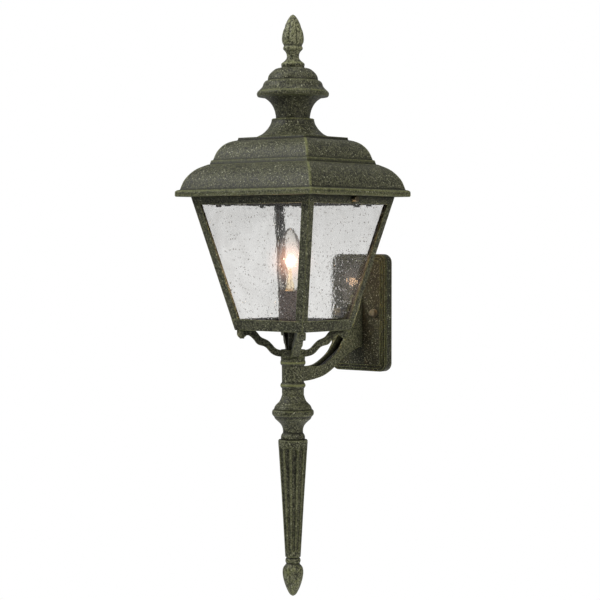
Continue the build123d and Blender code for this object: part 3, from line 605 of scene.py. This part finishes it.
BUD = [
    [(11.3, -375.2), (10.2, -376.8)],
    [(10.2, -376.8), (11.4, -378.8), (11.9, -381.1), (11.5, -383.7), (10.3, -385.6)],
    [(10.3, -385.6), (11.9, -388.1), (14.4, -391.1), (15.7, -394.7), (16.2, -399.3), (15.8, -404.4), (14.8, -410.2), (13.2, -416.1), (11, -422.3), (8.2, -428.6), (5, -433.9), (1.1, -436.7)],
]


def petals(angle, r, z):
    """Eight overlapping petals pressed into the bud."""
    if z < 416.3:
        return r
    up = min(1.0, (z - 416.3) / 5.0) * min(1.0, max(0.0, (463.5 - z) / 9.0))
    lobe = abs(math.sin(4 * angle + 1.93)) ** 0.55
    waist = 1.0 - 0.05 * math.exp(-((z - 444.0) / 3.2) ** 2) * (0.5 + 0.5 * math.cos(8 * angle + 0.6))
    return r * (1.0 - 0.13 * up * (1.0 - lobe)) * waist


def flush(angle, r, z):
    """The flared foot stops flush with the roof's crown at the front and back."""
    s = abs(math.sin(angle))
    return min(r, 52.2 / s) if s > 1e-6 else r


# painted shade along the creases between the petals
def petal_crease_shade(angle, z):
    if z < 417.5 or z > 460.0:
        return 0.0
    return max(0.0, 1.0 - abs(math.sin(4 * angle + 1.93)) * 3.2) * 0.9


def leaves(angle, r, z):
    """Shallow leaf lines on the lower bud."""
    if z > -388:
        return r
    down = min(1.0, (-388 - z) / 6.0) * min(1.0, max(0.0, (z + 436.0) / 10.0))
    lobe = abs(math.sin(4 * angle + 1.93)) ** 0.35
    return r * (1.0 - 0.07 * down * (1.0 - lobe))


# painted shade along the leaf lines of the lower bud
def leaf_crease_shade(angle, z):
    if z > -389.0 or z < -431.0:
        return 0.0
    return max(0.0, 1.0 - abs(math.sin(4 * angle + 1.93)) * 4.0) * 0.55


lathe("finial_bud", FINIAL, [(3.06, 382.4), (3.06, 406.0), (0.01, 406.0), (0.01, 464.3)], "top_finial", "top_finial", finial_metal_painted_light, 256, petals, 9, petal_crease_shade)
lathe("cap_casting", CAP, [(43.0, 337.9), (43.0, 342.2), (38.0, 352.2), (33.0, 363.1), (24.0, 374.0), (3.1, 374.0), (3.1, 382.0)], "roof", "chimney_cap", mats["cast_body"])
lathe("neck_casting", NECK, [(26.3, 303.8), (22.8, 303.8), (22.8, 311.4), (24.6, 317.3), (28.0, 324.8), (33.5, 331.3), (41.0, 337.8)], "roof", "chimney_neck", mats["cast_body"])
lathe("collar_casting", COLLAR, [(50.0, 275.1), (44.0, 279.5), (38.5, 285.0), (33.5, 291.0), (29.5, 297.4), (23.0, 298.9), (3.1, 298.9), (3.1, 303.7)], "roof", "roof_collar", mats["cast_body"], 144, flush)
lathe("vase_casting", VASE, [(3.1, -192.6), (3.1, -123.7)], "root", "stem_vase", vase_metal_painted_light)
lathe("tail_bud", BUD, [(0.01, -436.7), (0.01, -394.0), (3.1, -394.0), (3.1, -375.2)], "root", "tail_finial", bud_metal_painted_light, 256, leaves, 9, leaf_crease_shade)

# the roof: one section carried round a rectangle, its hips softened
ROOF_DQ = 7.45
ROOF_OUT = [
    [(59.8, 274.9), (60.4, 271.4)],
    [(60.4, 271.4), (61.4, 270.8)],
    [(61.4, 270.8), (66.6, 269.4), (72.7, 266.3), (77.8, 261.6), (82.1, 255.3), (84.9, 248.9), (87.4, 240.5)],
    [(87.4, 240.5), (89.6, 239.6)],
    [(89.6, 239.6), (91.2, 233.5)],
    [(91.2, 233.5), (93.0, 233.5)],
    [(93.0, 233.5), (98.2, 230.8), (103.8, 227.6), (109.2, 223.1), (114.7, 216.4), (119.2, 208.8), (121.8, 201.3), (123.7, 194.5)],
    [(123.7, 194.5), (126.9, 193.6)],
    [(126.9, 193.6), (128.9, 192.0)],
    [(128.9, 192.0), (129.3, 189.6)],
    [(129.3, 189.6), (129.3, 185.2)],
    [(129.3, 185.2), (128.3, 183.6)],
]
ROOF_INSIDE = [(106.4, 183.6), (106.4, 187.6), (118.5, 187.6), (120.0, 192.5), (116.5, 202.9), (109.5, 214.3), (101.0, 222.8), (90.0, 228.8), (83.0, 232.8), (80.5, 246.7), (74.0, 258.1), (66.0, 264.1), (56.0, 267.1)]
CORNER_STEPS, SIDE_STEPS = 5, 10


def rounded_ring(bm, q, z, radius):
    a, b = q + ROOF_DQ, q - ROOF_DQ
    loop = []
    for quarter in range(4):
        sx = 1 if quarter in (0, 3) else -1
        sy = 1 if quarter in (0, 1) else -1
        cx, cy = sx * (a - radius), sy * (b - radius)
        for i in range(CORNER_STEPS + 1):
            ang = quarter * math.pi / 2 + (i / CORNER_STEPS) * math.pi / 2
            loop.append((cx + radius * math.cos(ang), cy + radius * math.sin(ang)))
        nxt = (quarter + 1) % 4
        nsx = 1 if nxt in (0, 3) else -1
        nsy = 1 if nxt in (0, 1) else -1
        start = loop[-1]
        ang = nxt * math.pi / 2
        end = (nsx * (a - radius) + radius * math.cos(ang), nsy * (b - radius) + radius * math.sin(ang))
        near = min(0.3, 2.2 / math.dist(start, end))
        for i in range(SIDE_STEPS + 1):
            u = near + (1 - 2 * near) * i / SIDE_STEPS
            loop.append((start[0] + (end[0] - start[0]) * u, start[1] + (end[1] - start[1]) * u))
    return [bm.verts.new((x * MM, AXIS_Y + y * MM, z * MM)) for x, y in loop]


bm = bmesh.new()
rings, sharp = [], {0}
for seg in ROOF_OUT:
    pts = curve_points(seg, 5)
    if rings:
        pts = pts[1:]
    rings += [(q, z, 1.6) for q, z in pts]
    sharp.add(len(rings) - 1)
rings += [(q, z, 1.0) for q, z in ROOF_INSIDE]
sharp |= set(range(len(rings) - len(ROOF_INSIDE), len(rings) - len(ROOF_INSIDE) + 3))
loops = [rounded_ring(bm, q, z, r) for q, z, r in rings]
count = len(loops[0])
skin = [(q, z) for q, z, r in rings[:len(rings) - len(ROOF_INSIDE)]]
roof_values = []
for mark in wear_of(skin):
    for k in range(count):
        hip = 1.0 if k % (CORNER_STEPS + 1 + SIDE_STEPS + 1) <= CORNER_STEPS else 0.0
        roof_values.append((max(mark[0], hip), mark[1]))
roof_values += [(0.0, 0.0)] * (len(ROOF_INSIDE) * count)
for lo, hi in zip(loops, loops[1:]):
    for k in range(count):
        j = (k + 1) % count
        f = bm.faces.new((lo[k], lo[j], hi[j], hi[k]))
        f.smooth = True
# the flat crown, in and out, joined round the hole for the rod
holes = []
for z, edge_loop, turn in ((274.9, loops[0], 1), (267.1, loops[-1], -1)):
    hole = []
    for v in edge_loop:
        ang = math.atan2(v.co.y - AXIS_Y, v.co.x)
        hole.append(bm.verts.new((3.1 * MM * math.cos(ang), AXIS_Y + 3.1 * MM * math.sin(ang), z * MM)))
    for k in range(count):
        j = (k + 1) % count
        quad = (edge_loop[k], edge_loop[j], hole[j], hole[k])
        bm.faces.new(quad if turn > 0 else quad[::-1])
    holes.append(hole)
for k in range(count):
    j = (k + 1) % count
    bm.faces.new((holes[0][k], holes[0][j], holes[1][j], holes[1][k]))
for i in sharp:
    for k in range(count):
        e = bm.edges.get((loops[i][k], loops[i][(k + 1) % count]))
        if e:
            e.smooth = False
bmesh.ops.recalc_face_normals(bm, faces=bm.faces)
roof_values += [(0.0, 0.0)] * (2 * count)
roof_shell = finish_piece(bm, "roof_shell", "roof", "roof_casting", mats["cast_body"])
paint(roof_shell.data, roof_values)

# cast corners are never knife-sharp
for name, width in (("top_frame", 0.7), ("bottom_frame", 0.8), ("post_front_left", 0.8), ("post_front_right", 0.8),
                    ("post_rear_left", 0.8), ("post_rear_right", 0.8), ("back_plate", 0.9)):
    weld = nodes[name].modifiers.new("join", "WELD")
    weld.merge_threshold = 0.00002
    soft = nodes[name].modifiers.new("soft_edges", "BEVEL")
    soft.width = width * MM
    soft.segments = 3
    soft.limit_method = "ANGLE"
    soft.angle_limit = math.radians(35)
    soft.harden_normals = False

# ---------------------------------------------------------------- lamp light and its painted glow
lamp = bpy.data.lights.new("lamp", "POINT")
lamp.energy = 0.55
lamp.color = (1.0, 0.66, 0.38)
lamp.shadow_soft_size = 0.006
lamp_obj = bpy.data.objects.new("lamp", lamp)
scene.collection.objects.link(lamp_obj)
lamp_obj.location = (0.0, LAMP_Y, 0.0846)
lamp_obj.parent = frame["bodies"]["bulb"]

# painted glow: an emitting volume round the filament paints the white-hot core and warm halo of the lamp; it lights
# nothing
GLOW_R = 0.044
bm = bmesh.new()
bmesh.ops.create_icosphere(bm, subdivisions=4, radius=GLOW_R)
glow_mesh = bpy.data.meshes.new("lamp_glow")
bm.to_mesh(glow_mesh)
bm.free()
glow = bpy.data.objects.new("lamp_glow", glow_mesh)
scene.collection.objects.link(glow)
glow.location = (0.0, LAMP_Y, 0.0846)
glow.parent = frame["bodies"]["bulb"]
gm, t = new_material("lamp_glow")
length = t.node("ShaderNodeVectorMath", operation="LENGTH")
t.link(t.coords(), length.inputs[0])
near = t.rng(length.outputs["Value"], 0.0, 0.0128, 1.0, 0.0)
near = t.math("POWER", t.math("MAXIMUM", near, 0.0), 1.6)
far = t.rng(length.outputs["Value"], 0.0, GLOW_R, 1.0, 0.0)
far = t.math("POWER", t.math("MAXIMUM", far, 0.0), 2.2)
hot = t.node("ShaderNodeEmission")
hot.inputs["Color"].default_value = (1.0, 0.93, 0.80, 1)
t.link(t.math("MULTIPLY", near, 260.0), hot.inputs["Strength"])
halo = t.node("ShaderNodeEmission")
halo.inputs["Color"].default_value = (1.0, 0.52, 0.36, 1)
t.link(t.math("MULTIPLY", far, 40.0), halo.inputs["Strength"])
both = t.node("ShaderNodeAddShader")
t.link(hot.outputs[0], both.inputs[0])
t.link(halo.outputs[0], both.inputs[1])
t.out(None, both.outputs[0])
glow_mesh.materials.append(gm)
glow.visible_shadow = False
glow.visible_diffuse = False
glow.visible_glossy = False

# ---------------------------------------------------------------- studio
world = bpy.data.worlds.new("studio")
scene.world = world
world.use_nodes = True
world.node_tree.nodes.clear()
w = Tree(world.node_tree)
gen = w.node("ShaderNodeTexCoord").outputs["Generated"]
dot = w.node("ShaderNodeVectorMath", operation="DOT_PRODUCT")
w.link(gen, dot.inputs[0])
dot.inputs[1].default_value = (-0.45, 0.45, 0.77)
room = w.ramp(w.rng(dot.outputs["Value"], -1.0, 1.0), (0.0, (0.10, 0.10, 0.10)), (0.42, (0.22, 0.22, 0.22)), (0.75, (0.85, 0.86, 0.86)), (1.0, (0.95, 0.95, 0.95)))
light_bg = w.node("ShaderNodeBackground")
w.link(room, light_bg.inputs["Color"])
light_bg.inputs["Strength"].default_value = 0.45
white_bg = w.node("ShaderNodeBackground")
white_bg.inputs["Color"].default_value = (1.0, 1.0, 1.0, 1)
path = w.node("ShaderNodeLightPath")
seen = w.math("MAXIMUM", path.outputs["Is Camera Ray"], path.outputs["Is Transmission Ray"])
mixed = w.node("ShaderNodeMixShader")
w.link(seen, mixed.inputs[0])
w.link(light_bg.outputs[0], mixed.inputs[1])
w.link(white_bg.outputs[0], mixed.inputs[2])
world_out = w.node("ShaderNodeOutputWorld")
w.link(mixed.outputs[0], world_out.inputs["Surface"])


def area(name, at, target, size, energy, color=(1, 1, 1)):
    d = bpy.data.lights.new(name, "AREA")
    d.shape = "RECTANGLE"
    d.size, d.size_y = size
    d.energy = energy
    d.color = color
    o = bpy.data.objects.new(name, d)
    scene.collection.objects.link(o)
    o.location = at
    o.rotation_mode = "QUATERNION"
    o.rotation_quaternion = (Vector(at) - Vector(target)).to_track_quat("Z", "Y")
    o.visible_camera = False
    return o


centre = Vector((0.0, -0.16, 0.05))
area("key_left", (-1.7, -2.1, 1.9), centre, (0.8, 0.9), 69.0, (1.0, 0.995, 0.965))
area("fill_right", (2.4, -0.8, 1.0), centre, (0.8, 1.0), 38.0, (1.0, 0.96, 0.86))
area("top_soft", (0.2, -0.4, 2.4), centre, (1.6, 1.6), 14.0, (1.0, 1.0, 1.0))

# floor, well below the lantern because a wall holds it up
bm = bmesh.new()
FLOOR_Z, FLOOR_R = -1.75, 6.0
rings = [bm.verts.new((0, 0, FLOOR_Z))]
loops = []
for r in (1.5, 3.0, 4.5, FLOOR_R):
    loops.append([bm.verts.new((r * math.cos(a * math.tau / 96), r * math.sin(a * math.tau / 96), FLOOR_Z)) for a in range(96)])
for i in range(96):
    bm.faces.new((rings[0], loops[0][i], loops[0][(i + 1) % 96]))
for lo, hi in zip(loops, loops[1:]):
    for i in range(96):
        j = (i + 1) % 96
        bm.faces.new((lo[i], hi[i], hi[j], lo[j]))
floor_mesh = bpy.data.meshes.new("floor")
bm.to_mesh(floor_mesh)
bm.free()
floor = bpy.data.objects.new("floor", floor_mesh)
scene.collection.objects.link(floor)
fm, t = new_material("pale_floor")
v = t.coords()
dist = t.node("ShaderNodeVectorMath", operation="LENGTH")
t.link(t.mapping(v, (1, 1, 0)), dist.inputs[0])
tint = t.mix(t.rng(t.noise(v, 3, 3), 0.4, 0.6), (0.86, 0.86, 0.855), (0.88, 0.88, 0.875))
pale = t.principled(tint, 0.9, 0.0, None, Emission_Color=(1, 1, 1, 1), Emission_Strength=0.42)
gone = t.node("ShaderNodeBsdfTransparent")
fade = t.node("ShaderNodeMixShader")
t.link(t.rng(dist.outputs["Value"], 3.2, 5.9, 0.0, 1.0, True), fade.inputs[0])
t.link(pale, fade.inputs[1])
t.link(gone.outputs[0], fade.inputs[2])
t.out(fade.outputs[0])
floor_mesh.materials.append(fm)

# ---------------------------------------------------------------- picture settings
scene.view_settings.view_transform = "Standard"
scene.view_settings.look = "None"
scene.view_settings.exposure = 0.0
scene.view_settings.gamma = 1.0
scene.cycles.max_bounces = 16
scene.cycles.transmission_bounces = 14
scene.cycles.transparent_max_bounces = 16
scene.cycles.glossy_bounces = 5
scene.cycles.diffuse_bounces = 3
scene.cycles.sample_clamp_indirect = 6.0
